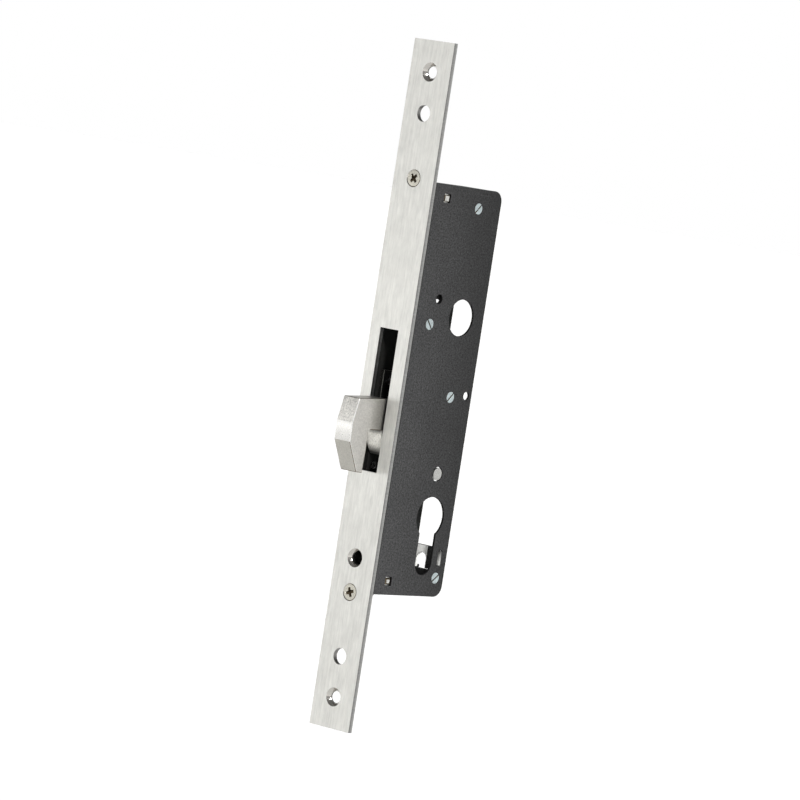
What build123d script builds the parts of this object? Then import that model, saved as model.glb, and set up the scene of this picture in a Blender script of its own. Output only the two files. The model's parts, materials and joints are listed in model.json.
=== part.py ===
from build123d import *
import math
import os

# Hook-bolt mortise lock for a narrow-stile sliding door, keyed by a euro-profile cylinder.
# Millimetres. +Z up, +X towards the screwed-on cover, +Y from the forend into the door.
# Origin: centre of the forend's fixing pattern, on the back face that seats on the door edge.

# --- driving dimensions -------------------------------------------------------------
FOREND_W = 22.0
FOREND_L = 290.0
FOREND_T = 2.2

CASE_H = 173.4
CASE_T = 15.5
SIDE_T = 1.2
COVER_T = 1.0
COVER_DEPTH = 49.5
BODY_DEPTH = 46.0
CASE_CORNER_R = 4.75
FRONT_PLATE_W = 21.2
FRONT_PLATE_T = 1.0

BACKSET = 35.0
INTERAXIS = 85.0
CYL_Z = -53.0
CYL_HEAD_R = 8.7
CYL_TAIL_W = 10.3
CYL_HEIGHT = 33.4
HANDLE_HOLE_R = 7.8
HANDLE_FAR_R = 6.0

FIXING_SPAN = 263.6
SPARE_SPAN = 229.0
CASE_SCREW_SPAN = 174.6
CYL_SCREW_Z = -72.8
CYL_SCREW_R = 2.7
FIXING_R = 2.5
SPARE_R = 3.5

SLOT_W = 10.0
SLOT_X = -0.44
SLOT_Z0 = -36.2
SLOT_Z1 = 23.9

HOOK_T = 8.8
HOOK_X = -0.5
HOOK_SWING = 96.5
PIVOT_DEPTH = 20.0
PIVOT_Z = -16.0
PIVOT_R = 2.6
HUB_R = 9.0
GUARD_R = 20.0
DRIVE_ARM = 11.5
DRIVE_PIN_R = 1.6
ROLLER_R = 2.6
RUN = 0.06

# --- derived places -----------------------------------------------------------------
FACE_Y = -FOREND_T
X_NEAR = CASE_T / 2
X_FAR = -CASE_T / 2
X_COVER = X_NEAR - COVER_T
X_BODY = X_FAR + SIDE_T
CASE_TOP = CASE_H / 2
HOOK_X0 = HOOK_X - HOOK_T / 2
HOOK_X1 = HOOK_X + HOOK_T / 2


def depth(distance):
    """Y of a point that lies this far behind the forend's front face."""
    return FACE_Y + distance


CYL_Y = depth(BACKSET)
HANDLE_Z = CYL_Z + INTERAXIS
PIVOT_Y = depth(PIVOT_DEPTH)
HALF_SWING = math.radians(HOOK_SWING / 2)
SLIDE_TRAVEL = 2 * DRIVE_ARM * math.sin(HALF_SWING)
DRIVE_Y = PIVOT_Y - DRIVE_ARM * math.cos(HALF_SWING)
DRIVE_Z = PIVOT_Z - DRIVE_ARM * math.sin(HALF_SWING)

# posts that carry the cover: name, distance behind the forend's face, height
POSTS = {
    "top": (35.4, 78.4),
    "front": (15.5, 28.0),
    "middle": (36.0, -1.7),
    "bottom": (44.35, -78.7),
}
POST_R = 3.0
POST_TENON_R = 1.5
WALL_START = 18.0
WALL_END_TOP = 41.0
WALL_END_BOTTOM = 44.6
CORNER_TOLERANCE = 0.01
COLLAR_HOLE = (19.1, 38.9)
COLLAR_HOLE_R = 2.0
COLLAR_WALL = 0.6
COLLAR_L = 0.9
REAR_HOLE = (46.05, -0.6)
REAR_HOLE_R = 1.8
POST_TAP_R = 1.46
POST_TAP_DEPTH = 6.5

COVER_SCREW_HEAD_R = 2.4
COVER_SINK_R = 2.65
COVER_SCREW_R = 1.4
COVER_SCREW_L = 5.5
SCREW_SLOT_ANGLES = {"top": 46, "front": 129, "middle": 46, "bottom": 38}

STAY = (35.55, -34.5)
STAY_R = 2.65
STAY_WINDOW = (35.3, -34.5)
STAY_WINDOW_R = 3.1

LUG_Z = 81.0
LUG_DEPTH = 14.4
TENON = (3.0, 2.8)
TENON_HOLE = (4.0, 3.7)
TENON_GAP = 0.1
TENON_RECESS = 0.15
LUG_SCREW_R = 2.0

TAB_DEPTH = (44.8, 46.0)
TAB_Z = (-75.6, -65.9)
EAR_TOP = -75.0
ARCH_X = -2.1
ARCH_R = 2.6
ARCH_TOP = -69.2
TONGUE_Z = (-73.2, -67.1)
TONGUE_HOLE_Z = (-73.35, -66.9)
TONGUE_HOLE_DEPTH = (43.8, 46.2)

SLIDE_X0 = X_BODY + 0.1
SLIDE_X1 = HOOK_X0 - 0.08
SLIDE_DEPTH = (4.4, 16.5)
SLIDE_Z = (-70.0, 6.3)
HEAD_DEPTH = 6.1
HEAD_Z = -19.0
FOOT_DEPTH = 22.4
FOOT_TOP = -50.5
GUIDES = ((10.0, 1.5), (8.5, -34.0))
GUIDE_R = 1.5
GUIDE_SLOT_R = 1.6

FOLLOWER_DEPTH = (13.6, 22.4)
FOLLOWER_Z = (-69.5, -52.5)
FOLLOWER_X1 = 4.8
NOTCH_DEPTH = 19.4
NOTCH_H = 6.8
RIVET_R = 1.5
RIVETS = ((16.8, -55.5), (16.8, -67.0))

DETENT_Z = 3.0
DETENT_DROP = 1.2
LEAF_T = 0.5
LEAF_X0 = X_BODY + 0.25
LEAF_X1 = SLIDE_X1 - 0.1


# --- helpers: a flat outline in (y, z) made thick along X, or in (x, z) along Y -------
def thick_x(outline, x0, x1):
    return extrude(Plane.YZ.offset(x0) * outline, amount=x1 - x0)


def thick_y(outline, y0, y1):
    return extrude(Plane.XZ.offset(-y1) * outline, amount=y1 - y0)


def rod_x(y, z, radius, x0, x1):
    return thick_x(Pos(y, z) * Circle(radius), x0, x1)


def rod_y(x, z, radius, y0, y1):
    return thick_y(Pos(x, z) * Circle(radius), y0, y1)


def cone_x(y, z, r0, r1, x0, x1):
    place = Plane(origin=(x0, y, z), z_dir=(1, 0, 0))
    return place * Cone(r0, r1, x1 - x0, align=(Align.CENTER, Align.CENTER, Align.MIN))


def cone_y(z, r0, r1, y0, y1):
    place = Plane(origin=(0, y0, z), z_dir=(0, 1, 0))
    return place * Cone(r0, r1, y1 - y0, align=(Align.CENTER, Align.CENTER, Align.MIN))


def rect(u0, u1, v0, v1):
    return Pos((u0 + u1) / 2, (v0 + v1) / 2) * Rectangle(u1 - u0, v1 - v0)


def block(x0, x1, y0, y1, z0, z1):
    return thick_x(rect(y0, y1, z0, z1), x0, x1)


# --- openings in the side plates ------------------------------------------------------
def cylinder_opening():
    tail_end_z = CYL_Z + CYL_HEAD_R - CYL_HEIGHT + CYL_TAIL_W / 2
    half = CYL_TAIL_W / 2
    head = Pos(CYL_Y, CYL_Z) * Circle(CYL_HEAD_R)
    tail = rect(CYL_Y - half, CYL_Y + half, tail_end_z, CYL_Z)
    tail_end = Pos(CYL_Y, tail_end_z) * Circle(half)
    return head + tail + tail_end


def large_openings(handle_r):
    handle = Pos(CYL_Y, HANDLE_Z) * Circle(handle_r)
    return cylinder_opening() + handle


def tenon_holes(size):
    width, height = size
    holes = Sketch()
    for side in (1, -1):
        holes += Pos(depth(LUG_DEPTH), side * LUG_Z) * Rectangle(width, height)
    return holes


# --- forend and its screws ------------------------------------------------------------
def forend():
    plate = thick_y(Rectangle(FOREND_W, FOREND_L), FACE_Y, 0)
    slot = rect(SLOT_X - SLOT_W / 2, SLOT_X + SLOT_W / 2, SLOT_Z0, SLOT_Z1)
    plate -= thick_y(slot, FACE_Y - 1, 1)
    for side in (1, -1):
        fixing_z = side * FIXING_SPAN / 2
        plate -= rod_y(0, fixing_z, FIXING_R, FACE_Y - 1, 1)
        plate -= cone_y(fixing_z, 4.0, FIXING_R, FACE_Y, FACE_Y + 1.5)
        plate -= rod_y(0, side * SPARE_SPAN / 2, SPARE_R, FACE_Y - 1, 1)
        screw_z = side * CASE_SCREW_SPAN / 2
        plate -= rod_y(0, screw_z, LUG_SCREW_R + 0.1, FACE_Y - 1, 1)
        plate -= cone_y(screw_z, 3.75, LUG_SCREW_R + 0.1, FACE_Y, FACE_Y + 1.65)
    plate -= rod_y(0, CYL_SCREW_Z, CYL_SCREW_R, FACE_Y - 1, 1)
    plate -= cone_y(CYL_SCREW_Z, 4.0, CYL_SCREW_R, FACE_Y, FACE_Y + 1.3)
    return plate


def forend_screw(z):
    """Countersunk M4 with a cross recess, flush with the forend."""
    top = FACE_Y + 0.05
    screw = cone_y(z, 3.68, LUG_SCREW_R, top, top + 1.65)
    screw += rod_y(0, z, LUG_SCREW_R, top + 1.6, 6.0)
    for wide, tall in ((3.8, 0.8), (0.8, 3.8)):
        screw -= thick_y(Pos(0, z) * Rectangle(wide, tall), top - 1, top + 1.2)
    return screw


def forend_screws():
    half = CASE_SCREW_SPAN / 2
    return Compound(children=[forend_screw(half), forend_screw(-half)])


def forend_lug(side):
    """Steel lug at a case end: tenoned into both side plates, tapped for a forend screw."""
    foot_y = depth(LUG_DEPTH) + TENON[0] / 2 + 0.4
    inner_z = sorted((side * 77.0, side * 85.4))
    tip_z = sorted((side * 84.0, side * 90.9))
    toe_z = sorted((side * (CASE_TOP + 0.05), side * 90.9))
    lug = block(X_BODY, X_COVER, FRONT_PLATE_T, foot_y, *inner_z)
    lug += block(-4.9, 4.9, FRONT_PLATE_T, 6.6, *tip_z)
    lug += block(-4.9, 4.9, 0, FRONT_PLATE_T, *toe_z)
    tenon = Pos(depth(LUG_DEPTH), side * LUG_Z) * Rectangle(*TENON)
    lug += thick_x(tenon, X_FAR + 0.05, X_NEAR - TENON_RECESS)
    lug -= rod_y(0, side * CASE_SCREW_SPAN / 2, LUG_SCREW_R + 0.03, -1, 8)
    return lug


# --- case -----------------------------------------------------------------------------
def case_front_plate():
    """Plate behind the forend, wider than the case, with the window for the hook."""
    plate = thick_y(Rectangle(FRONT_PLATE_W, CASE_H), 0, FRONT_PLATE_T)
    half = SLOT_W / 2 + 0.45
    window = rect(SLOT_X - half, SLOT_X + half, SLOT_Z0 - 0.7, SLOT_Z1 + 0.7)
    plate -= thick_y(window, -1, 2)
    plate -= rod_y(0, CYL_SCREW_Z, CYL_SCREW_R, -1, 2)
    for side in (1, -1):
        z_low, z_high = sorted((side * 84.2, side * (CASE_TOP + 1)))
        plate -= thick_y(rect(-3.2, 3.2, z_low, z_high), -1, 2)
    return plate


def side_outline(reach, z0, z1):
    """A side plate's outline from the front plate back, rounded at the case's rear corners."""
    outline = rect(FRONT_PLATE_T, depth(reach), z0, z1)
    rear = [v for v in outline.vertices() if v.X > FRONT_PLATE_T + 1]
    corners = [v for v in rear if abs(v.Y) > CASE_TOP - CORNER_TOLERANCE]
    return fillet(corners, radius=CASE_CORNER_R)


def case_body():
    """Far side plate with bent top and bottom walls and the bent rear tab."""
    main = side_outline(BODY_DEPTH, EAR_TOP - 4, CASE_TOP)
    ear = side_outline(COVER_DEPTH, -CASE_TOP, EAR_TOP)
    outline = main + ear - large_openings(HANDLE_FAR_R)
    outline -= tenon_holes((TENON[0] + TENON_GAP, TENON[1] + TENON_GAP))
    for reach, z in POSTS.values():
        outline -= Pos(depth(reach), z) * Circle(POST_TENON_R)
    outline -= Pos(depth(STAY[0]), STAY[1]) * Circle(STAY_R)
    outline -= Pos(PIVOT_Y, PIVOT_Z) * Circle(PIVOT_R)
    for reach, z in GUIDES:
        outline -= Pos(depth(reach), z) * Circle(GUIDE_R)
    body = thick_x(outline, X_FAR, X_BODY)
    for side, wall_end in ((1, WALL_END_TOP), (-1, WALL_END_BOTTOM)):
        z0, z1 = sorted((side * (CASE_TOP - SIDE_T), side * CASE_TOP))
        body += block(X_FAR + 0.2, X_COVER, depth(WALL_START), depth(wall_end), z0, z1)
    return body + rear_tab()


def rear_tab():
    """Bent wall behind the cylinder tail, with an arched gap and a tongue to the cover."""
    y0, y1 = depth(TAB_DEPTH[0]), depth(TAB_DEPTH[1])
    tab = block(X_FAR, X_COVER, y0, y1, *TAB_Z)
    tab += block(X_COVER - 0.5, X_NEAR - 0.05, y0, y1, *TONGUE_Z)
    arch_z = ARCH_TOP - ARCH_R
    arch = Pos(ARCH_X, arch_z) * Circle(ARCH_R)
    arch += rect(ARCH_X - ARCH_R, ARCH_X + ARCH_R, TAB_Z[0] - 1, arch_z)
    return tab - thick_y(arch, y0 - 1, y1 + 1)


def case_cover():
    """Near side plate: painted sheet with every opening that shows from outside."""
    outline = side_outline(COVER_DEPTH, -CASE_TOP, CASE_TOP)
    outline = outline - large_openings(HANDLE_HOLE_R) - tenon_holes(TENON_HOLE)
    outline -= Pos(depth(STAY_WINDOW[0]), STAY_WINDOW[1]) * Circle(STAY_WINDOW_R)
    outline -= Pos(depth(COLLAR_HOLE[0]), COLLAR_HOLE[1]) * Circle(COLLAR_HOLE_R)
    outline -= Pos(depth(REAR_HOLE[0]), REAR_HOLE[1]) * Circle(REAR_HOLE_R)
    tongue_y0, tongue_y1 = depth(TONGUE_HOLE_DEPTH[0]), depth(TONGUE_HOLE_DEPTH[1])
    outline -= rect(tongue_y0, tongue_y1, *TONGUE_HOLE_Z)
    cover = thick_x(outline, X_COVER, X_NEAR)
    for reach, z in POSTS.values():
        cover -= rod_x(depth(reach), z, POST_TENON_R + 0.1, X_COVER - 1, X_NEAR + 1)
        cover -= cone_x(depth(reach), z, 1.6, COVER_SINK_R, X_COVER, X_NEAR)
    return cover + hole_collar()


def hole_collar():
    """Collar drawn inward round the small hole above the handle hole."""
    y, z = depth(COLLAR_HOLE[0]), COLLAR_HOLE[1]
    collar = rod_x(y, z, COLLAR_HOLE_R + COLLAR_WALL, X_COVER - COLLAR_L, X_COVER + COLLAR_WALL)
    return collar - rod_x(y, z, COLLAR_HOLE_R, X_COVER - COLLAR_L - 1, X_NEAR + 1)


def spacer_post(name):
    reach, z = POSTS[name]
    post = rod_x(depth(reach), z, POST_R, X_BODY, X_COVER)
    post += rod_x(depth(reach), z, POST_TENON_R, X_FAR, X_BODY)
    post -= rod_x(depth(reach), z, POST_TAP_R, X_COVER - POST_TAP_DEPTH, X_COVER)
    return post


def cover_screw(name):
    """Slotted countersunk screw, flush with the cover."""
    reach, z = POSTS[name]
    y = depth(reach)
    top = X_NEAR - 0.05
    screw = cone_x(y, z, COVER_SCREW_R, COVER_SCREW_HEAD_R, top - 1.0, top)
    screw += rod_x(y, z, COVER_SCREW_R, top - COVER_SCREW_L, top - 0.95)
    slot = Pos(y, z) * Rot(0, 0, SCREW_SLOT_ANGLES[name]) * Rectangle(7.0, 0.8)
    return screw - thick_x(slot, top - 0.5, top + 1)


def cover_screws():
    return Compound(children=[cover_screw(name) for name in POSTS])


def riveted_stay():
    return rod_x(depth(STAY[0]), STAY[1], STAY_R, X_FAR, X_NEAR - 0.15)


# --- hook and its pivot ---------------------------------------------------------------
def hook_outline():
    """Nose that hangs in front of the forend, arm through the slot, hub round the pivot."""
    notch_top = -18.4
    nose = [
        (-16.8, -5.7),
        (-19.0, -15.9),
        (-18.8, -24.05),
        (-12.0, -36.5),
        (-8.4, -36.6),
        (-8.0, -26.9),
        (-8.3, notch_top),
    ]
    arm_top = [(17.0, -7.6), (12.0, -8.5), (1.0, -5.0)]
    guard_start = 180 + math.degrees(math.asin((PIVOT_Z - notch_top) / GUARD_R))
    guard_turn = 34.0
    arc = CenterArc((PIVOT_Y, PIVOT_Z), GUARD_R, guard_start, guard_turn)
    notch = [(depth(d), z) for d, z in nose]
    back = [(PIVOT_Y, PIVOT_Z)] + [(depth(d), z) for d, z in arm_top] + [notch[0]]
    front_line = Polyline(*notch, arc @ 0)
    back_line = Polyline(arc @ 1, *back)
    face = make_face([front_line, arc, back_line])
    corner = face.vertices().sort_by_distance((notch[-1][0], notch[-1][1], 0))[0]
    face = fillet(corner, radius=1.4)
    hub = Pos(PIVOT_Y, PIVOT_Z) * Circle(HUB_R)
    boss = Pos(DRIVE_Y, DRIVE_Z) * Circle(4.5)
    link = make_hull(hub.edges() + boss.edges())
    return face + link


def hook_bolt():
    outline = hook_outline()
    outline -= Pos(PIVOT_Y, PIVOT_Z) * Circle(PIVOT_R + RUN)
    outline -= Pos(DRIVE_Y, DRIVE_Z) * Circle(DRIVE_PIN_R)
    return thick_x(outline, HOOK_X0, HOOK_X1)


def hook_pivot_pin():
    """Shouldered pin, riveted in the far plate, with a collar that spaces the hook."""
    pin = rod_x(PIVOT_Y, PIVOT_Z, PIVOT_R, X_FAR, X_COVER - 0.02)
    return pin + rod_x(PIVOT_Y, PIVOT_Z, 3.4, X_BODY, HOOK_X0 - 0.05)


def hook_washer():
    ring = Pos(PIVOT_Y, PIVOT_Z) * (Circle(6.0) - Circle(PIVOT_R + 0.02))
    return thick_x(ring, HOOK_X1 + 0.05, X_COVER)


def hook_drive_pin():
    return rod_x(DRIVE_Y, DRIVE_Z, DRIVE_PIN_R, SLIDE_X0 + 0.02, HOOK_X1 - 0.1)


def hook_drive_roller():
    ring = Pos(DRIVE_Y, DRIVE_Z) * (Circle(ROLLER_R) - Circle(DRIVE_PIN_R + 0.03))
    return thick_x(ring, SLIDE_X0 + 0.02, HOOK_X0)


# --- drive slide ----------------------------------------------------------------------
def drive_slot():
    """Slot for the roller, tall enough for the pin's arc at a constant lift per degree."""
    lift_per_radian = DRIVE_ARM * math.sin(HALF_SWING) / HALF_SWING
    worst = math.acos(lift_per_radian / DRIVE_ARM)
    arc_error = DRIVE_ARM * math.sin(worst) - lift_per_radian * worst
    half_height = ROLLER_R + arc_error + 0.08
    y_front = PIVOT_Y - DRIVE_ARM - ROLLER_R - 0.1
    y_back = DRIVE_Y + ROLLER_R + 0.1
    slot = rect(y_front, y_back, DRIVE_Z - half_height, DRIVE_Z + half_height)
    return fillet(slot.vertices(), radius=ROLLER_R - 0.2)


def drive_slide():
    front, back = depth(SLIDE_DEPTH[0]), depth(SLIDE_DEPTH[1])
    outline = rect(front, back, SLIDE_Z[0], HEAD_Z)
    outline += rect(depth(HEAD_DEPTH), back, HEAD_Z, SLIDE_Z[1])
    outline += rect(front, depth(FOOT_DEPTH), SLIDE_Z[0], FOOT_TOP)
    outline -= drive_slot()
    for reach, z in GUIDES:
        length = SLIDE_TRAVEL + 2 * GUIDE_SLOT_R
        place = Pos(depth(reach), z - SLIDE_TRAVEL / 2) * Rot(0, 0, 90)
        outline -= place * SlotOverall(length, 2 * GUIDE_SLOT_R)
    for z in (DETENT_Z, DETENT_Z - SLIDE_TRAVEL):
        points = ((back - DETENT_DROP, z), (back + 0.5, z + 2.0), (back + 0.5, z - 2.0))
        outline -= make_face(Polyline(*points, close=True))
    for reach, z in RIVETS:
        outline -= Pos(depth(reach), z) * Circle(RIVET_R)
    return thick_x(outline, SLIDE_X0, SLIDE_X1)


def cam_follower():
    """Block on the slide with the notch that the cylinder's cam turns into."""
    outline = rect(depth(FOLLOWER_DEPTH[0]), depth(FOLLOWER_DEPTH[1]), *FOLLOWER_Z)
    notch_z = CYL_Z - SLIDE_TRAVEL / 2
    notch = rect(depth(NOTCH_DEPTH), CYL_Y, notch_z - NOTCH_H / 2, notch_z + NOTCH_H / 2)
    outline -= notch
    for reach, z in RIVETS:
        outline -= Pos(depth(reach), z) * Circle(RIVET_R)
    return thick_x(outline, SLIDE_X1, FOLLOWER_X1)


def follower_rivets():
    rivets = []
    for reach, z in RIVETS:
        rivets.append(rod_x(depth(reach), z, RIVET_R, SLIDE_X0, FOLLOWER_X1))
    return Compound(children=rivets)


def guide_studs():
    studs = []
    for reach, z in GUIDES:
        studs.append(rod_x(depth(reach), z, GUIDE_R, X_FAR, SLIDE_X1))
    return Compound(children=studs)


def detent_spring():
    """Leaf wrapped round the front post; its nose rests in the slide's detent notch."""
    post_y, post_z = depth(POSTS["front"][0]), POSTS["front"][1]
    wrap_r = POST_R + LEAF_T / 2 + 0.02
    wrap = CenterArc((post_y, post_z), wrap_r, 0, 250)
    edge = depth(SLIDE_DEPTH[1])
    stand_off = edge + 1.4
    path = [
        wrap @ 0,
        (stand_off, DETENT_Z + 3.4),
        (edge - DETENT_DROP + 0.75, DETENT_Z),
        (stand_off, DETENT_Z - 3.4),
        (stand_off + 0.6, DETENT_Z - 6.5),
    ]
    leaf = trace(wrap, LEAF_T)
    for start, end in zip(path, path[1:]):
        leaf += trace(Line(start, end), LEAF_T)
    for corner in path[1:-1]:
        leaf += Pos(*corner) * Circle(LEAF_T / 2)
    return thick_x(leaf, LEAF_X0, LEAF_X1)


# --- write one file per sub-part ------------------------------------------------------
def all_parts():
    parts = {
        "forend": forend(),
        "forend_screws": forend_screws(),
        "forend_lug_top": forend_lug(1),
        "forend_lug_bottom": forend_lug(-1),
        "case_front_plate": case_front_plate(),
        "case_body": case_body(),
        "case_cover": case_cover(),
        "cover_screws": cover_screws(),
        "riveted_stay": riveted_stay(),
        "hook_bolt": hook_bolt(),
        "hook_pivot_pin": hook_pivot_pin(),
        "hook_washer": hook_washer(),
        "hook_drive_pin": hook_drive_pin(),
        "hook_drive_roller": hook_drive_roller(),
        "drive_slide": drive_slide(),
        "cam_follower": cam_follower(),
        "follower_rivets": follower_rivets(),
        "guide_studs": guide_studs(),
        "detent_spring": detent_spring(),
    }
    for name in POSTS:
        parts["spacer_post_" + name] = spacer_post(name)
    return parts


os.makedirs("parts", exist_ok=True)
for node, shape in all_parts().items():
    export_step(shape, "parts/" + node + ".step")
print("slide travel", round(SLIDE_TRAVEL, 4), "mm for", HOOK_SWING, "degrees of the hook")
print("pivot", PIVOT_Y, PIVOT_Z)
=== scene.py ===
import json
import math

import bmesh
import bpy
from mathutils import Matrix, Vector


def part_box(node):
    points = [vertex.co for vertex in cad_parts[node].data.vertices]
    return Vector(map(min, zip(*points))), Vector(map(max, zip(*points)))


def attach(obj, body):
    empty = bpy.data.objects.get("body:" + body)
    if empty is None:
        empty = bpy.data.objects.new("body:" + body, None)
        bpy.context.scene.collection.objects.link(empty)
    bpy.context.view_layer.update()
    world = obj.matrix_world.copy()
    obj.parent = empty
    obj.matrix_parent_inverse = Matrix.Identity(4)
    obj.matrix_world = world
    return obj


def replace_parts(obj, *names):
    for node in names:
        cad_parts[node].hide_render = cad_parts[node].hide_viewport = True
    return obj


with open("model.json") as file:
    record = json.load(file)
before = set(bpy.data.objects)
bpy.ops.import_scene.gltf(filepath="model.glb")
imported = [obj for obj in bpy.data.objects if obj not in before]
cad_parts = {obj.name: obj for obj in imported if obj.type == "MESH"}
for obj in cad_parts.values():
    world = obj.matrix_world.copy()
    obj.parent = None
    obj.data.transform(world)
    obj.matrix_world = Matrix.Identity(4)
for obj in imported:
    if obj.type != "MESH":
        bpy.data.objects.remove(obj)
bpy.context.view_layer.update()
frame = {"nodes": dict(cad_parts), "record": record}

MM = 0.001
NODES = frame["nodes"]
BODY_OF = {n: b for b, names in frame["record"]["behaviour"]["bodies"].items() for n in names}
SLOT_OF = {s["node"]: s["material_slot"] for s in frame["record"]["subparts"]}

# the low and high corner of each node's box, in millimetres
BOX = {node: [Vector(corner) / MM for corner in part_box(node)] for node in NODES}

# edges sharper than SHARP are rounded, and faces that meet flatter than FLAT are joined
SHARP = math.radians(34)
FLAT = math.radians(0.4)
WELD = 1e-6

# Where finishes change, in millimetres. The forend's back is at y = 0 and its front at y = -2.2.
TAB_Y = 42.6
TAB_Z = (-76.0, -65.5)
TAB_FOOT_Z = TAB_Z[0] + 0.6
TAB_ARCH_Z = -75.0
TAB_X = (-6.6, 6.8)
TAB_FACE_X = -6.4
# x where the tab's white zinc gives way to a painted shadow, and where its tongue begins
TAB_SHADOW_AND_TONGUE_X = (0.75, 6.6)
NEAR = 0.1
# the span of the cover's painted light falloff along y and z
COVER_Y = (0.0, 47.0)
COVER_Z = (-87.0, 87.0)
COVER_RIM = 0.4
SHELL_INNER_X = -7.2
SHELL_FRONT_Y = 2.5
FOREND_HOLES = (5, 60)
HOOK_OUT_Y = -3
GUARD_Y = -7
NOTCH = (-11.5, -17)
NOSE_Y = -16
UNDERSIDE_Z = -24
# height above which the slide's rounded edges carry a painted highlight
SLIDE_HIGHLIGHT_Z = -14
TENON_X = 6.6
TENON_END_X = 7.5

# how far, in millimetres, edges are rounded where it is not the node's own width
TAB_ROUND = 0.32
TENON_ROUND = {"forend_lug_top": 0.3, "forend_lug_bottom": 0.65}
KEPT_ROUND = 0.08


# --- materials --------------------------------------------------------------------------
class Shader:
    """A Principled material with helpers that add procedural detail in object space."""

    def __init__(self, name, color, metallic, roughness, **constants):
        self.mat = bpy.data.materials.new(name)
        self.mat.use_nodes = True
        self.tree = self.mat.node_tree
        self.bsdf = self.tree.nodes["Principled BSDF"]
        self.color, self.roughness = color, roughness
        self.bsdf.inputs["Metallic"].default_value = metallic
        for socket, value in constants.items():
            self.bsdf.inputs[socket.replace("_", " ")].default_value = value
        self.place = self.tree.nodes.new("ShaderNodeTexCoord").outputs["Object"]
        self.height = None

    def node(self, kind, **values):
        made = self.tree.nodes.new(kind)
        for key, value in values.items():
            setattr(made, key, value)
        return made

    def link(self, source, target):
        self.tree.links.new(source, target)

    def noise(self, per_mm, detail=3.0, rough=0.55):
        """Noise whose cell count per millimetre is given along x, y and z."""
        scale = self.node("ShaderNodeMapping")
        scale.inputs["Scale"].default_value = [v / MM for v in per_mm]
        texture = self.node("ShaderNodeTexNoise")
        texture.inputs["Scale"].default_value = 1.0
        texture.inputs["Detail"].default_value = detail
        texture.inputs["Roughness"].default_value = rough
        self.link(self.place, scale.inputs["Vector"])
        self.link(scale.outputs[0], texture.inputs["Vector"])
        return texture.outputs["Fac"]

    def spread(self, source, low, high, start=0.3, end=0.7):
        """Maps start..end of a value to low..high."""
        ramp = self.node("ShaderNodeMapRange", clamp=True)
        ramp.inputs["From Min"].default_value = start
        ramp.inputs["From Max"].default_value = end
        ramp.inputs["To Min"].default_value = low
        ramp.inputs["To Max"].default_value = high
        self.link(source, ramp.inputs["Value"])
        return ramp.outputs["Result"]

    def fade(self, axis, span, levels):
        """A value that changes slowly along one axis of the object."""
        split = self.node("ShaderNodeSeparateXYZ")
        self.link(self.place, split.inputs[0])
        return self.spread(split.outputs[axis], *levels, *span)

    def math(self, operation, a, b):
        step = self.node("ShaderNodeMath", operation=operation)
        for socket, value in zip(step.inputs, (a, b)):
            if isinstance(value, (int, float)):
                socket.default_value = value
            else:
                self.link(value, socket)
        return step.outputs[0]

    def tint(self, factor):
        """Multiplies the base colour by a value."""
        mix = self.node("ShaderNodeMix", data_type="RGBA", blend_type="MULTIPLY")
        mix.inputs["Factor"].default_value = 1.0
        mix.inputs["A"].default_value = (*self.color, 1)
        self.link(factor, mix.inputs["B"])
        self.link(mix.outputs["Result"], self.bsdf.inputs["Base Color"])

    def rough(self, factor):
        self.link(self.math("MULTIPLY", factor, self.roughness), self.bsdf.inputs["Roughness"])

    def bump(self, height, depth_mm, strength=1.0):
        made = self.node("ShaderNodeBump")
        made.inputs["Strength"].default_value = strength
        made.inputs["Distance"].default_value = depth_mm * MM
        self.link(height, made.inputs["Height"])
        self.link(made.outputs["Normal"], self.bsdf.inputs["Normal"])


def brushed(
    name, color, roughness, along, contrast=0.06, bump_mm=0.004, patches=0.03, spread=0.0,
    shade_and_tone_fades=(), metallic=1.0,
):
    """Metal brushed along an axis: fine long streaks over slow patches."""
    shader = Shader(name, color, metallic, roughness, Anisotropic=spread)
    fine, coarse = [3.4] * 3, [0.9] * 3
    fine["xyz".index(along)] = 0.14
    coarse["xyz".index(along)] = 0.09
    streak = shader.noise(fine, 4.0, 0.6)
    band = shader.noise(coarse, 3.0)
    patch = shader.noise((0.30, 0.30, 0.16), 4.0, 0.65)
    scuff = shader.noise([v * 0.45 for v in fine], 2.0, 0.5)
    streaks = shader.spread(streak, -contrast, contrast)
    tone = shader.math("ADD", streaks, shader.spread(band, -contrast, contrast))
    tone = shader.math("ADD", tone, shader.spread(scuff, 0.0, -0.35 * contrast, 0.60, 0.80))
    tone = shader.math("ADD", tone, shader.spread(patch, 1.0 - patches, 1.0 + patches))
    # slow fades along one axis multiply the tone
    for limits in shade_and_tone_fades:
        tone = shader.math("MULTIPLY", tone, shader.fade(*limits))
    shader.tint(tone)
    shader.rough(shader.math("ADD", shader.spread(streak, 0.97, 1.2), shader.spread(patch, -0.05, 0.08)))
    shader.bump(streak, bump_mm)
    return shader.mat


def satin(name, color, roughness, grain_mm, contrast=0.05, bump_mm=0.006, metallic=1.0, shade_and_tone_fades=()):
    """Blasted, plated or cast metal: fine even grain over slow stains."""
    shader = Shader(name, color, metallic, roughness)
    speck = shader.noise((1 / grain_mm,) * 3, 3.0, 0.6)
    stain = shader.noise((0.16,) * 3, 3.0)
    specks = shader.spread(speck, -contrast, contrast)
    tone = shader.math("ADD", specks, shader.spread(stain, 0.93, 1.03))
    # slow fades along one axis multiply the tone; on the hook's sides, the guard and the tongue they are
    # painted shade
    for limits in shade_and_tone_fades:
        tone = shader.math("MULTIPLY", tone, shader.fade(*limits))
    shader.tint(tone)
    shader.rough(shader.math("ADD", shader.spread(speck, 0.85, 1.15), shader.spread(stain, -0.1, 0.1)))
    shader.bump(speck, bump_mm)
    return shader.mat


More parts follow.
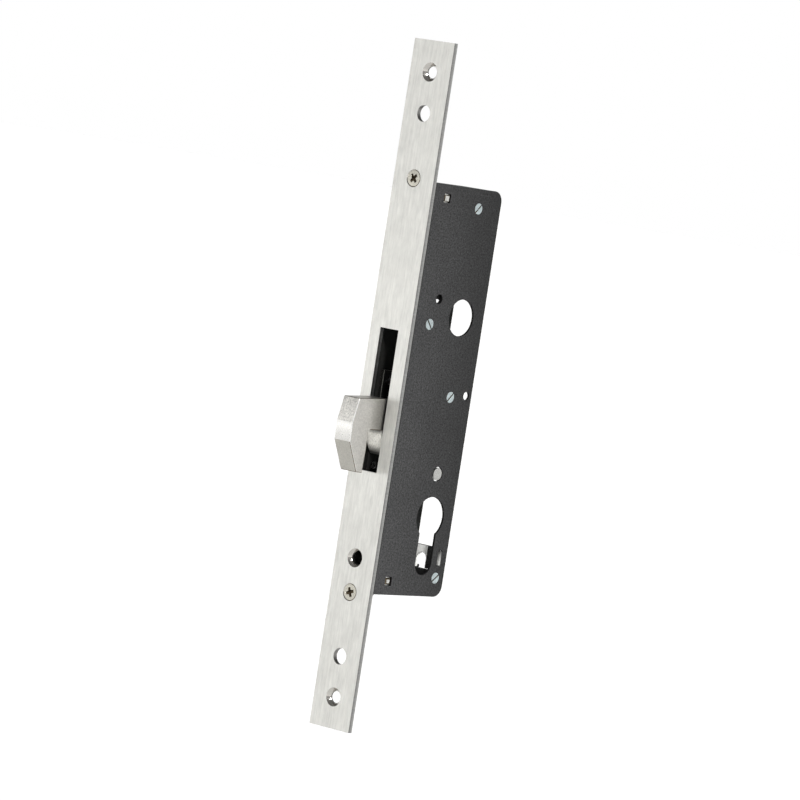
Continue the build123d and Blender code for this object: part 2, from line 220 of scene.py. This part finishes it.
def paint(name, color, roughness, grain=0.5, across=(1.0, 1.0), upward=(1.0, 1.0)):
    """Fine-textured baked coat: a pebbled skin with pale flecks and slow cloudy patches, under a painted
    light falloff along y and z.
    """
    shader = Shader(name, color, 0.0, roughness, Specular_IOR_Level=0.12)
    pebble = shader.noise((1.3,) * 3, 4.0, 0.8)
    fleck = shader.noise((2.6,) * 3, 2.0, 0.5)
    patch = shader.noise((0.07,) * 3, 3.0)
    pebbles = shader.spread(pebble, 1 - grain, 1 + grain)
    tone = shader.math("ADD", pebbles, shader.spread(fleck, 0.0, 0.7, 0.66, 0.80))
    tone = shader.math("MULTIPLY", tone, shader.spread(patch, 0.92, 1.06))
    # painted light falloff: across lightens the coat toward its front, upward toward its bottom
    tone = shader.math("MULTIPLY", tone, shader.fade("Y", [y * MM for y in COVER_Y], across))
    tone = shader.math("MULTIPLY", tone, shader.fade("Z", [z * MM for z in COVER_Z], upward))
    shader.tint(tone)
    shader.rough(shader.spread(pebble, 0.85, 1.15))
    shader.bump(pebble, 0.10, 0.7)
    return shader.mat


MATS = {
    "brushed_stainless": brushed(
        "brushed_stainless", (0.672, 0.667, 0.632), 0.31, "z", 0.07, 0.003, 0.07, 0.75,
        metallic=0.65,
    ),
    "sheared_edge": brushed(
        "sheared_edge", (0.37, 0.37, 0.36), 0.40, "y", 0.10,
        shade_and_tone_fades=[("Y", (-2.0 * MM, -0.4 * MM), (0.66, 1.06))],
    ),
    "turned_steel": satin("turned_steel", (0.62, 0.60, 0.56), 0.15, 0.4, 0.08),
    "screw_steel": satin("screw_steel", (0.56, 0.54, 0.47), 0.30, 0.50, 0.16, 0.02),
    # dark painted shade in screw recesses and rims and around the lug tenons
    "recess_painted_shade": satin("recess_painted_shade", (0.13, 0.105, 0.07), 0.50, 0.3, 0.25),
    "screw_zinc": satin("screw_zinc", (0.50, 0.57, 0.58), 0.30, 0.8, 0.14, 0.03),
    "bright_zinc": satin("bright_zinc", (0.58, 0.63, 0.63), 0.34, 0.45, 0.10, 0.010),
    "flange_steel": brushed("flange_steel", (0.055, 0.055, 0.053), 0.42, "z", 0.10),
    "white_zinc": satin("white_zinc", (0.93, 0.93, 0.90), 0.5, 0.5, 0.10, 0.02, 0.1),
    # the tab's tongue: darkened toward its top as painted shade in the cover's slot
    "tongue_zinc": satin(
        "tongue_zinc", (0.50, 0.50, 0.48), 0.5, 0.5, 0.25, 0.04, 0.2,
        [("Z", (-71.5 * MM, -67.0 * MM), (0.9, 0.06))],
    ),
    "tenon_steel": satin("tenon_steel", (0.66, 0.66, 0.63), 0.36, 0.6, 0.22, 0.05),
    "case_steel": paint("case_steel", (0.042, 0.042, 0.0425), 0.5, 0.85),
    # the cover: lighter toward its front and its bottom as painted light falloff
    "dark_paint": paint("dark_paint", (0.042, 0.042, 0.0425), 0.50, 0.85, (1.16, 0.58), (1.14, 0.92)),
    # near-black painted shade for the case's inner faces, the slide, the spacer posts and the tab's
    # edges
    "interior_painted_shade": paint("interior_painted_shade", (0.012, 0.012, 0.011), 0.6),
    # painted highlight on the slide's upper rounded edges
    "slide_edge_highlight": satin("slide_edge_highlight", (0.42, 0.42, 0.38), 0.35, 0.4, 0.10),
    # near-black painted shade on the cover's hole walls and the bottom spacer post
    "hole_painted_shade": paint("hole_painted_shade", (0.006, 0.006, 0.006), 0.7),
    "phosphated": satin("phosphated", (0.045, 0.043, 0.040), 0.55, 0.3, 0.25, 0.012, 0.4),
    "bright_steel": satin("bright_steel", (0.50, 0.50, 0.48), 0.28, 0.4, 0.08),
    "spring_steel": satin("spring_steel", (0.30, 0.30, 0.33), 0.30, 0.4, 0.06),
    # the hook's sides: darkened toward the forend as painted shade and painted reflection
    "satin_nickel": satin(
        "satin_nickel", (0.59, 0.575, 0.54), 0.38, 0.60, 0.14, 0.03, 1.0,
        [("Y", (-10.5 * MM, -2.0 * MM), (1.0, 0.35))],
    ),
    "cast_nickel": satin("cast_nickel", (0.76, 0.745, 0.705), 0.40, 0.70, 0.30, 0.10),
    "polished_nickel": satin("polished_nickel", (0.86, 0.85, 0.82), 0.27, 0.8, 0.03, 0.002),
    # the guard: a painted shadow line under the notch and painted shadow over its lower part
    "matte_nickel": satin(
        "matte_nickel", (0.96, 0.94, 0.87), 0.55, 0.6, 0.24, 0.08, 0.5,
        [("Z", (-20.4 * MM, -18.6 * MM), (1.0, 0.22)), ("Z", (-28.2 * MM, -24.9 * MM), (0.10, 1.0))],
    ),
    # painted highlight on the hook's rounded edges that face front and right
    "edge_painted_highlight": satin("edge_painted_highlight", (0.95, 0.94, 0.92), 0.30, 0.8, 0.05),
    # dark lines on the hook's rounded top and underside edges; at the notch a painted shadow line
    "edge_dark": satin("edge_dark", (0.20, 0.17, 0.13), 0.45, 0.5, 0.20),
    "bore_steel": satin("bore_steel", (0.24, 0.235, 0.225), 0.30, 0.4, 0.10),
    # downward facets: a duller finish, darker also as painted shade
    "dull_and_shaded_nickel": satin("dull_and_shaded_nickel", (0.54, 0.525, 0.48), 0.38, 0.6, 0.12, 0.03),
}


# --- shapes -----------------------------------------------------------------------------
def clean_copy(node):
    """The CAD node's shape as a welded mesh with its flat areas dissolved."""
    mesh = bmesh.new()
    mesh.from_mesh(NODES[node].data)
    bmesh.ops.remove_doubles(mesh, verts=mesh.verts, dist=WELD)
    bmesh.ops.dissolve_limit(mesh, angle_limit=FLAT, verts=mesh.verts, edges=mesh.edges)
    return mesh


def round_edges(mesh, width_mm, segments=2, chosen=None):
    """Rounds the sharp edges, or those that chosen accepts, and tags the new faces."""
    mesh.normal_update()
    tag = mesh.faces.layers.int.get("edge") or mesh.faces.layers.int.new("edge")
    edges = [e for e in mesh.edges if len(e.link_faces) == 2 and e.calc_face_angle() > SHARP]
    edges = [e for e in edges if chosen is None or chosen(e)]
    made = bmesh.ops.bevel(
        mesh, geom=edges, offset=width_mm * MM, offset_type="OFFSET", segments=segments,
        profile=0.5, affect="EDGES", clamp_overlap=True,
    )
    for face in made["faces"]:
        face[tag] = 1


def finish_piece(mesh, name, node, mats, pick=None):
    """Turns the mesh into the piece that stands for a CAD node, with a finish per face."""
    mesh.normal_update()
    data = bpy.data.meshes.new(name)
    for mat in mats:
        data.materials.append(MATS[mat])
    tag = mesh.faces.layers.int.get("edge")
    for face in mesh.faces:
        face.smooth = True
        # faces made by round_edges; some finishes paint highlight or shade on them
        rounding_face = bool(tag and face[tag])
        face.material_index = mats.index(pick(face, rounding_face)) if pick else 0
    for edge in mesh.edges:
        edge.smooth = not (len(edge.link_faces) == 2 and edge.calc_face_angle() > SHARP)
    mesh.to_mesh(data)
    mesh.free()
    piece = bpy.data.objects.new(name, data)
    bpy.context.scene.collection.objects.link(piece)
    shade = piece.modifiers.new("shade", "WEIGHTED_NORMAL")
    shade.keep_sharp = True
    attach(piece, BODY_OF[node])
    return piece


def refine_node(node, width_mm, mat):
    """Keeps the CAD node, rounds its edges with modifiers and gives it its finish."""
    thing = NODES[node]
    thing.modifiers.new("weld", "WELD").merge_threshold = WELD
    flat = thing.modifiers.new("flat", "DECIMATE")
    flat.decimate_type = "DISSOLVE"
    flat.angle_limit = FLAT
    edge = thing.modifiers.new("edge", "BEVEL")
    edge.limit_method = "ANGLE"
    edge.angle_limit = SHARP
    edge.width = width_mm * MM
    edge.segments = 2
    thing.modifiers.new("shade", "WEIGHTED_NORMAL").keep_sharp = True
    thing.data.materials.clear()
    thing.data.materials.append(MATS[mat])


def split_tab(mesh):
    """Cuts the rear tab's front face where its white zinc gives way to a painted shadow, and where its
    tongue begins.
    """
    for x in TAB_SHADOW_AND_TONGUE_X:
        faces = [f for f in mesh.faces if f.normal.y < -0.9 and at_tab(middle(f))]
        geom = faces + [e for f in faces for e in f.edges] + [v for f in faces for v in f.verts]
        geom = list(dict.fromkeys(geom))
        bmesh.ops.bisect_plane(mesh, geom=geom, plane_co=(x * MM, 0, 0), plane_no=(1, 0, 0))


def at_tab(point):
    """Whether a point in millimetres lies at the rear tab, at any x."""
    return point.y > TAB_Y - 2 * NEAR and TAB_Z[0] < point.z < TAB_Z[1]


def on_tab(edge):
    """The visible edges of the rear tab: its top and its arch."""
    ends = [v.co / MM for v in edge.verts]
    front = all(abs(p.y - TAB_Y) < NEAR and TAB_X[0] < p.x < TAB_X[1] for p in ends)
    return front and all(TAB_FOOT_Z < p.z < TAB_Z[1] for p in ends) and edge.calc_face_angle() > SHARP


def on_tenon(edge):
    """The edges of a lug's tenon end, which shows through the cover."""
    return all(v.co.x > TENON_END_X * MM for v in edge.verts) and edge.calc_face_angle() > SHARP


def middle(face):
    """A face's centre in millimetres."""
    return face.calc_center_median() / MM


def forend_finish(face, rounding_face):
    n, c = face.normal, middle(face)
    if abs(n.y) > 0.9:
        return "brushed_stainless"
    if abs(c.x) < FOREND_HOLES[0] and abs(c.z) > FOREND_HOLES[1]:
        return "turned_steel" if abs(n.y) > 0.3 else "bore_steel"
    if rounding_face and n.y < -0.3:
        return "brushed_stainless"
    return "sheared_edge"


def hook_finish(face, rounding_face):
    n, c = face.normal, middle(face)
    if rounding_face and c.y < HOOK_OUT_Y:
        # at the notch the rounded edges are a painted shadow line; on top and underneath they are dark
        # lines
        notch_shadow_line = c.y > NOTCH[0] and c.z < NOTCH[1] and (n.z < -0.25 or n.y > 0.25)
        if n.z > 0.5 or notch_shadow_line or (n.z < -0.25 and c.z < UNDERSIDE_Z):
            return "edge_dark"
        # rounded edges facing front and right: painted highlight
        if n.x > 0.2 and n.y < -0.2:
            return "edge_painted_highlight"
    # the guard, with painted shadow at its top and bottom
    if c.y > GUARD_Y and abs(n.x) < 0.6:
        return "matte_nickel"
    # the hook's sides, with painted shade toward the forend
    if abs(n.x) > 0.5 or (c.y > NOSE_Y and n.y > -0.8):
        return "satin_nickel"
    # facets facing up, level and down; the downward ones are darker partly as painted shade
    if n.z > 0.1:
        return "cast_nickel"
    if n.z > -0.2:
        return "polished_nickel"
    return "dull_and_shaded_nickel"


def cover_finish(face, rounding_face):
    c = middle(face)
    low, high = BOX["case_cover"]
    inner = min(c.y - low.y, high.y - c.y, c.z - low.z, high.z - c.z) > COVER_RIM
    # the cover's hole walls are painted near-black as painted shade
    return "hole_painted_shade" if inner and abs(face.normal.x) < 0.6 else "dark_paint"


def shell_finish(face, rounding_face):
    n, c = face.normal, middle(face)
    tab = at_tab(c) and c.x > TAB_FACE_X
    # the tab's tongue, with painted shade toward its top
    if tab and c.x > TAB_SHADOW_AND_TONGUE_X[1]:
        return "tongue_zinc"
    # the tab's rounded top edge and arch rim are painted near-black as painted shade lines
    if tab and rounding_face and n.y < 0.9 and c.z > TAB_ARCH_Z:
        return "interior_painted_shade"
    # left of the first cut the tab is white zinc; between the cuts its face falls through to the case
    # paint as a painted shadow of the cover
    if tab and c.x < TAB_SHADOW_AND_TONGUE_X[0] and n.y < 0.9:
        return "white_zinc"
    # the far plate's inner faces and the shell's front are painted near-black as painted shade
    inside = c.x > SHELL_INNER_X and abs(n.x) > 0.5
    return "interior_painted_shade" if inside or c.y < SHELL_FRONT_Y else "case_steel"


def slide_highlight_finish(face, rounding_face):
    # the slide's upper rounded edges are a painted highlight; the rest is near-black painted shade
    return "slide_edge_highlight" if rounding_face and middle(face).z > SLIDE_HIGHLIGHT_Z else "interior_painted_shade"


def lug_finish(face, rounding_face):
    n, c = face.normal, middle(face)
    if c.x > TENON_X:
        # the tenon's end face is steel; its sides and rounded edges are painted shade in the cover's
        # holes
        return "tenon_steel" if n.x > 0.9 and not rounding_face else "recess_painted_shade"
    return "bright_zinc"


LUG_MATS = ["bright_zinc", "tenon_steel", "recess_painted_shade"]
# node: the piece's name, its rounding in millimetres, segments, materials, and what picks one for a face
DETAILED = {
    "forend": (
        "forend_bar", 0.14, 2,
        ["brushed_stainless", "turned_steel", "sheared_edge", "bore_steel"],
        forend_finish,
    ),
    "hook_bolt": (
        "hook_casting", 0.30, 3,
        [
            "satin_nickel", "cast_nickel", "polished_nickel", "dull_and_shaded_nickel", "matte_nickel",
            "edge_painted_highlight", "edge_dark",
        ],
        hook_finish,
    ),
    "case_cover": ("cover_sheet", 0.10, 2, ["dark_paint", "hole_painted_shade"], cover_finish),
    "case_front_plate": ("flange_plate", 0.10, 2, ["flange_steel"], None),
    "case_body": (
        "case_shell", 0.10, 2,
        ["case_steel", "white_zinc", "tongue_zinc", "interior_painted_shade"],
        shell_finish,
    ),
    "drive_slide": ("slide_plate", 0.06, 1, ["interior_painted_shade", "slide_edge_highlight"], slide_highlight_finish),
    "forend_lug_top": ("lug_top", 0.22, 2, LUG_MATS, lug_finish),
    "forend_lug_bottom": ("lug_bottom", 0.22, 2, LUG_MATS, lug_finish),
}
# the spacer posts get near-black painted shade; the cam follower is phosphated
DARK_NODES = {
    "spacer_post_top": "interior_painted_shade",
    "spacer_post_front": "interior_painted_shade",
    "spacer_post_middle": "interior_painted_shade",
    "spacer_post_bottom": "hole_painted_shade",
    "cam_follower": "phosphated",
}

for node, (name, width, segments, mats, pick) in DETAILED.items():
    shape = clean_copy(node)
    if node == "case_body":
        split_tab(shape)
        round_edges(shape, TAB_ROUND, 3, on_tab)
    if node in TENON_ROUND:
        round_edges(shape, TENON_ROUND[node], 3, on_tenon)
    round_edges(shape, width, segments)
    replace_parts(finish_piece(shape, name, node, mats, pick), node)


# --- screws -----------------------------------------------------------------------------
# all lengths in millimetres
SCREW_RINGS = 34
SCREW_SIDES = 96
RECESS_ARM = 2.05
RECESS_HALF = 0.74
RECESS_CORE = 1.08
RECESS_DEPTH = 1.5
ARM_NARROWING = 0.22
ARM_RISE = 0.45
SLOT_HALF = 0.28
SLOT_DEPTH = 0.7
WALL = 0.16
THREAD_PITCH = 0.7
THREAD_DEPTH = 0.25
FOREND_SCREW_TURNS = (45, 22)
FOREND_SHANK_R = 2.0
FOREND_CONE = 1.9
COVER_SCREW_TURNS = {"top": 46, "front": 129, "middle": 46, "bottom": 38}
COVER_SHANK_R = 1.38
COVER_CONE = 1.0
COVER_SCREW_LENGTH = 5.4


def cross_recess(u, v):
    """Depth of a tapered cross recess at this point of a head."""
    depth = 0.0
    for along, aside in ((u, v), (v, u)):
        reach = RECESS_ARM - abs(along)
        width = RECESS_HALF * (1.0 - ARM_NARROWING * abs(along) / RECESS_ARM) - abs(aside)
        floor = RECESS_DEPTH * (1.0 - ARM_RISE * abs(along) / RECESS_ARM)
        depth = max(depth, floor * min(reach, width, WALL) / WALL)
    core = min(RECESS_CORE - math.hypot(u, v), WALL) / WALL
    return max(depth, core * RECESS_DEPTH)


def straight_slot(u, v):
    """Depth of a sawn slot at this point of a head."""
    return max(0.0, min(SLOT_HALF - abs(v), WALL) / WALL) * SLOT_DEPTH


def turned_screw(mesh, place, head_r, rim, crown, shank_r, cone, length, recess):
    """Adds a countersunk screw: crowned head with its recess, rim, cone and threaded shank."""
    profile = [(rim * i / SCREW_RINGS, None) for i in range(1, SCREW_RINGS + 1)]
    profile += [(rim + 0.04, 0.16), (head_r - 0.03, 0.18), (head_r - 0.10, 0.30), (shank_r, cone)]
    for i in range(int((length - cone - 0.8) / THREAD_PITCH)):
        root, crest = cone + 0.25 + THREAD_PITCH * i, cone + 0.55 + THREAD_PITCH * i
        profile += [(shank_r - THREAD_DEPTH, root), (shank_r, crest)]
    profile.append((shank_r * 0.6, length))
    rows = []
    for r, drop in profile:
        row = []
        for k in range(SCREW_SIDES):
            angle = math.tau * k / SCREW_SIDES
            u, v = r * math.cos(angle), r * math.sin(angle)
            depth = drop if drop is not None else recess(u, v) - crown * (1 - (r / rim) ** 2)
            row.append(mesh.verts.new((place @ Vector((u, v, -depth))) * MM))
        rows.append(row)
    top = mesh.verts.new((place @ Vector((0, 0, -recess(0, 0)))) * MM)
    end = mesh.verts.new((place @ Vector((0, 0, -length))) * MM)
    for k in range(SCREW_SIDES):
        n = (k + 1) % SCREW_SIDES
        mesh.faces.new((top, rows[0][k], rows[0][n]))
        for a, b in zip(rows, rows[1:]):
            mesh.faces.new((a[k], b[k], b[n], a[n]))
        mesh.faces.new((end, rows[-1][n], rows[-1][k]))


def screw_place(u, v, out, centre):
    """Where a screw goes: its slot lies along u, and its head faces out."""
    place = Matrix((u, v, out)).transposed().to_4x4()
    place.translation = centre
    return place


def screw_set(name, node, mesh, out, bright, places, rim):
    """Finishes a set of screws: bright crowns, with painted shade on the recesses and rims."""
    def pick(face, rounding_face):
        c = middle(face)
        centre = min(places, key=lambda p: (p - c).length)
        off = c - centre
        drop = -off.dot(out)
        radius = (off + out * drop).length
        # everything but the crown is painted shade
        return bright if radius < rim and drop < 0.12 and face.normal.dot(out) > 0.55 else "recess_painted_shade"

    bmesh.ops.recalc_face_normals(mesh, faces=mesh.faces)
    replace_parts(finish_piece(mesh, name, node, [bright, "recess_painted_shade"], pick), node)


def forend_screws():
    low, high = BOX["forend_screws"]
    head_r = (high.x - low.x) / 2
    rim, crown, out = head_r - 0.32, 0.10, Vector((0, -1, 0))
    mesh, places = bmesh.new(), []
    for z, turn in zip((high.z - head_r, low.z + head_r), FOREND_SCREW_TURNS):
        turn = math.radians(turn)
        u = Vector((math.cos(turn), 0, math.sin(turn)))
        centre = Vector((0, low.y + crown, z))
        place = screw_place(u, out.cross(u), out, centre)
        length = high.y - centre.y
        turned_screw(mesh, place, head_r, rim, crown, FOREND_SHANK_R, FOREND_CONE, length, cross_recess)
        places.append(centre)
    screw_set("forend_screw_pair", "forend_screws", mesh, out, "screw_steel", places, rim)


def cover_screws():
    high = BOX["cover_screws"][1]
    rim, crown, out = 2.34, 0.04, Vector((1, 0, 0))
    mesh, places = bmesh.new(), []
    for name, turn in COVER_SCREW_TURNS.items():
        low_post, high_post = BOX["spacer_post_" + name]
        turn = math.radians(turn)
        u = Vector((0, math.cos(turn), math.sin(turn)))
        centre = (low_post + high_post) / 2
        centre.x = high.x - crown
        place = screw_place(u, out.cross(u), out, centre)
        turned_screw(
            mesh, place, rim + 0.06, rim, crown,
            COVER_SHANK_R, COVER_CONE, COVER_SCREW_LENGTH, straight_slot,
        )
        places.append(centre)
    screw_set("cover_screw_set", "cover_screws", mesh, out, "screw_zinc", places, rim)


forend_screws()
cover_screws()

for node in NODES:
    if node not in DETAILED and node not in ("forend_screws", "cover_screws"):
        refine_node(node, KEPT_ROUND, DARK_NODES.get(node, SLOT_OF[node]))


# --- stage, light and camera ------------------------------------------------------------
# the floor's half width and height, in metres
FLOOR_HALF = 40.0
FLOOR_Z = -0.8
# radius from and to, and the light the floor adds there, so that it fades to the white backdrop
FLOOR_GLOW = (0.9, 4.5, 0.0, 0.26)


def floor():
    data = bpy.data.meshes.new("floor")
    around = ((-1, -1), (1, -1), (1, 1), (-1, 1))
    corners = [(x * FLOOR_HALF, y * FLOOR_HALF, FLOOR_Z) for x, y in around]
    data.from_pydata(corners, [], [(0, 1, 2, 3)])
    mat = bpy.data.materials.new("pale_floor")
    mat.use_nodes = True
    shader = mat.node_tree.nodes["Principled BSDF"]
    shader.inputs["Base Color"].default_value = (0.90, 0.90, 0.895, 1)
    shader.inputs["Roughness"].default_value = 0.9
    shader.inputs["Specular IOR Level"].default_value = 0.0
    shader.inputs["Emission Color"].default_value = (1, 1, 1, 1)
    tree = mat.node_tree
    place = tree.nodes.new("ShaderNodeTexCoord")
    reach = tree.nodes.new("ShaderNodeVectorMath")
    reach.operation = "LENGTH"
    glow = tree.nodes.new("ShaderNodeMapRange")
    glow.interpolation_type = "SMOOTHSTEP"
    for socket, value in zip(glow.inputs[1:5], FLOOR_GLOW):
        socket.default_value = value
    tree.links.new(place.outputs["Object"], reach.inputs[0])
    tree.links.new(reach.outputs["Value"], glow.inputs["Value"])
    tree.links.new(glow.outputs[0], shader.inputs["Emission Strength"])
    data.materials.append(mat)
    piece = bpy.data.objects.new("floor", data)
    bpy.context.scene.collection.objects.link(piece)


def area_light(name, position, target, size, power):
    data = bpy.data.lights.new(name, "AREA")
    data.shape = "RECTANGLE"
    data.size, data.size_y = size
    data.energy = power
    light = bpy.data.objects.new(name, data)
    bpy.context.scene.collection.objects.link(light)
    light.location = position
    aim = Vector(target) - Vector(position)
    light.rotation_euler = aim.to_track_quat("-Z", "Y").to_euler()
    return light


floor()

FRONT_LEFT = (-0.652, -0.758, 0.0)
FRONT_RIGHT = (0.651, -0.757, 0.06)

# from, to, value at from, value at to
SKY_ACROSS = (-0.8, 0.9, 0.84, 0.95)
SKY_HEIGHT = (0.02, 0.62, 1.0, 0.20)
SKY_DARK_SIDE = (0.55, 0.97, 1.0, 0.50)


def studio_world():
    """Plain white backdrop, with the softer, uneven white of a studio in what it lights."""
    world = bpy.data.worlds.new("studio")
    bpy.context.scene.world = world
    world.use_nodes = True
    tree = world.node_tree
    made, link = tree.nodes.new, tree.links.new
    background = tree.nodes["Background"]
    background.inputs["Color"].default_value = (1, 1, 1, 1)
    place = made("ShaderNodeTexCoord").outputs["Generated"]

    def toward(direction):
        dot = made("ShaderNodeVectorMath")
        dot.operation = "DOT_PRODUCT"
        dot.inputs[1].default_value = direction
        link(place, dot.inputs[0])
        return dot.outputs["Value"]

    def ramp(source, limits, kind="LINEAR"):
        spread = made("ShaderNodeMapRange")
        spread.interpolation_type = kind
        for socket, value in zip(spread.inputs[1:5], limits):
            socket.default_value = value
        link(source, spread.inputs["Value"])
        return spread.outputs[0]

    def combine(operation, a, b):
        step = made("ShaderNodeMath")
        step.operation = operation
        link(a, step.inputs[0])
        link(b, step.inputs[1])
        return step.outputs[0]

    level = ramp(toward(FRONT_LEFT), SKY_ACROSS)
    level = combine("MULTIPLY", level, ramp(toward((0, 0, 1)), SKY_HEIGHT, "SMOOTHSTEP"))
    level = combine("MULTIPLY", level, ramp(toward(FRONT_RIGHT), SKY_DARK_SIDE, "SMOOTHSTEP"))
    path = made("ShaderNodeLightPath").outputs["Is Camera Ray"]
    link(combine("MAXIMUM", path, level), background.inputs["Strength"])


studio_world()

KEY_FROM = Vector((0.702, -0.422, 0.574))
sun_data = bpy.data.lights.new("key", "SUN")
sun_data.energy = 3.6
sun_data.angle = math.radians(9)
sun = bpy.data.objects.new("key", sun_data)
bpy.context.scene.collection.objects.link(sun)
sun.rotation_euler = (-KEY_FROM).to_track_quat("-Z", "Y").to_euler()
sun.visible_camera = False

front_panel = area_light(
    "front_panel", position=(-0.39, -0.454, -0.02), target=(0, 0, 0.01), size=(0.55, 0.12), power=0.07,
)
front_panel.visible_camera = False

bpy.context.scene.view_settings.view_transform = "Standard"

CAM_AZ, CAM_EL, CAM_ROLL = math.radians(40.676), math.radians(3.318), math.radians(8.79)
CAM_TARGET = Vector((6.539, 3.266, -4.744)) * MM
CAM_DISTANCE = 2.10498
CAM_LENS = 227.54

camera_data = bpy.data.cameras.new("camera")
camera_data.lens = CAM_LENS
camera_data.sensor_width = 36.0
camera_data.clip_start = 0.1
camera_data.clip_end = 200.0
camera = bpy.data.objects.new("camera", camera_data)
bpy.context.scene.collection.objects.link(camera)
level = math.cos(CAM_EL)
back = Vector((math.sin(CAM_AZ) * level, -math.cos(CAM_AZ) * level, math.sin(CAM_EL)))
right = Vector((math.cos(CAM_AZ), math.sin(CAM_AZ), 0))
up = back.cross(right)
across = right * math.cos(CAM_ROLL) + up * math.sin(CAM_ROLL)
above = up * math.cos(CAM_ROLL) - right * math.sin(CAM_ROLL)
place = Matrix((across, above, back)).transposed().to_4x4()
place.translation = CAM_TARGET + back * CAM_DISTANCE
camera.matrix_world = place
bpy.context.scene.camera = camera
